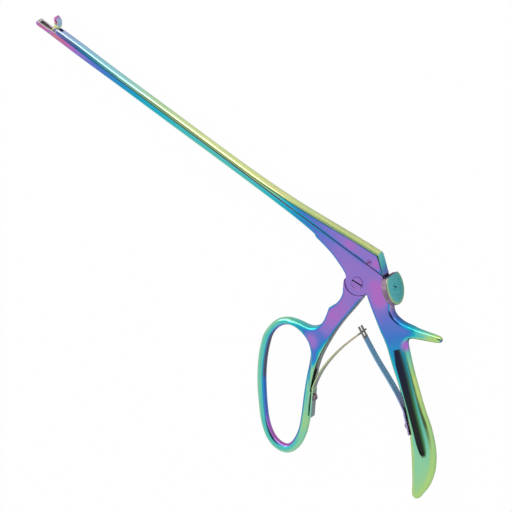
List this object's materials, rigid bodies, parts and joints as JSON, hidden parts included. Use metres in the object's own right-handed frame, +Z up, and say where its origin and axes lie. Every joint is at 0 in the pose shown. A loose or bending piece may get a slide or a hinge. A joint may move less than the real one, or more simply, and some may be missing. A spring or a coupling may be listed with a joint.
{
  "type": "biopsy forceps",
  "caption": "Rainbow-coated punch biopsy forceps: a ring handle slides the upper shaft forward and folds a hinged jaw onto the basket at the nose.",
  "frame": {"origin": "on the axis of the main pivot screw, in the flat side of the body that the instrument lies on", "axes": "+X from the nose to the rear along the shaft, +Y away from the handles, +Z up, out of the side with the screw heads"},
  "size_m": [0.2964, 0.1257, 0.0182],
  "materials": {
    "frame_titanium": "glossy, rainbow titanium nitride coating over steel, purple to blue",
    "slide_titanium": "glossy, rainbow titanium nitride coating over steel, teal to yellow-green",
    "handle_titanium": "glossy, rainbow titanium nitride coating over steel, blue to purple",
    "jaw_titanium": "glossy, rainbow titanium nitride coating over steel, magenta to gold",
    "disc_titanium": "rainbow titanium nitride coating over steel, teal, with a knurled rim",
    "spring_titanium": "spring steel with a thin rainbow coating",
    "screw_titanium": "slotted steel screw with the rainbow coating",
    "pin_steel": "ground steel pin"
  },
  "bodies": {
    "body": {"fixed_frame": "frame_titanium", "jaw_hinge_pin": "pin_steel", "main_pivot_screw": "screw_titanium", "lock_disc_screw": "screw_titanium", "rear_leaf_foot": "spring_titanium", "rear_leaf_screw": "screw_titanium"},
    "handle": {"ring_handle": "handle_titanium", "front_leaf_foot": "spring_titanium", "front_leaf_screw": "screw_titanium"},
    "slide": {"slide_bar": "slide_titanium", "jaw_link_pin": "pin_steel", "drive_screw": "screw_titanium"},
    "jaw": {"upper_jaw": "jaw_titanium"},
    "disc": {"lock_disc": "disc_titanium"},
    "front_blade": {"front_leaf_blade": "spring_titanium"},
    "rear_blade": {"rear_leaf_blade": "spring_titanium"}
  },
  "joints": [
    {"name": "handle_squeeze", "type": "hinge", "parent": "body", "child": "handle", "pos_m": [0, 0, 0.0035], "axis": [0, 0, 1], "range_deg": [0, 15], "stiffness_Nm_per_rad": 0.8, "springref_deg": -8.59},
    {"name": "slide_travel", "type": "slide", "parent": "body", "child": "slide", "axis": [-1, 0, 0], "range_m": [0, 0.00356]},
    {"name": "jaw_bite", "type": "hinge", "parent": "body", "child": "jaw", "pos_m": [-0.203, 0.0096, 0.0035], "axis": [0, 0, 1], "range_deg": [0, 66.86]},
    {"name": "front_leaf_flex", "type": "hinge", "parent": "handle", "child": "front_blade", "pos_m": [0.00685, -0.06355, 0.0035], "axis": [0, 0, 1], "range_deg": [0, 3.76]},
    {"name": "rear_leaf_flex", "type": "hinge", "parent": "body", "child": "rear_blade", "pos_m": [0.05299, -0.04328, 0.0035], "axis": [0, 0, 1], "range_deg": [-6.27, 0]},
    {"name": "lock_disc_turn", "type": "hinge", "parent": "body", "child": "disc", "pos_m": [0.01484, 0.00696, 0.0035], "axis": [0.7071, 0.7071, 0], "range_deg": [0, 180]}
  ],
  "couplings": [
    {"joint": "slide_travel", "follows": "handle_squeeze", "m_per_rad": 0.013612},
    {"joint": "jaw_bite", "follows": "handle_squeeze", "ratio": 4.4564},
    {"joint": "front_leaf_flex", "follows": "handle_squeeze", "ratio": 0.25023},
    {"joint": "rear_leaf_flex", "follows": "handle_squeeze", "ratio": -0.41755}
  ]
}
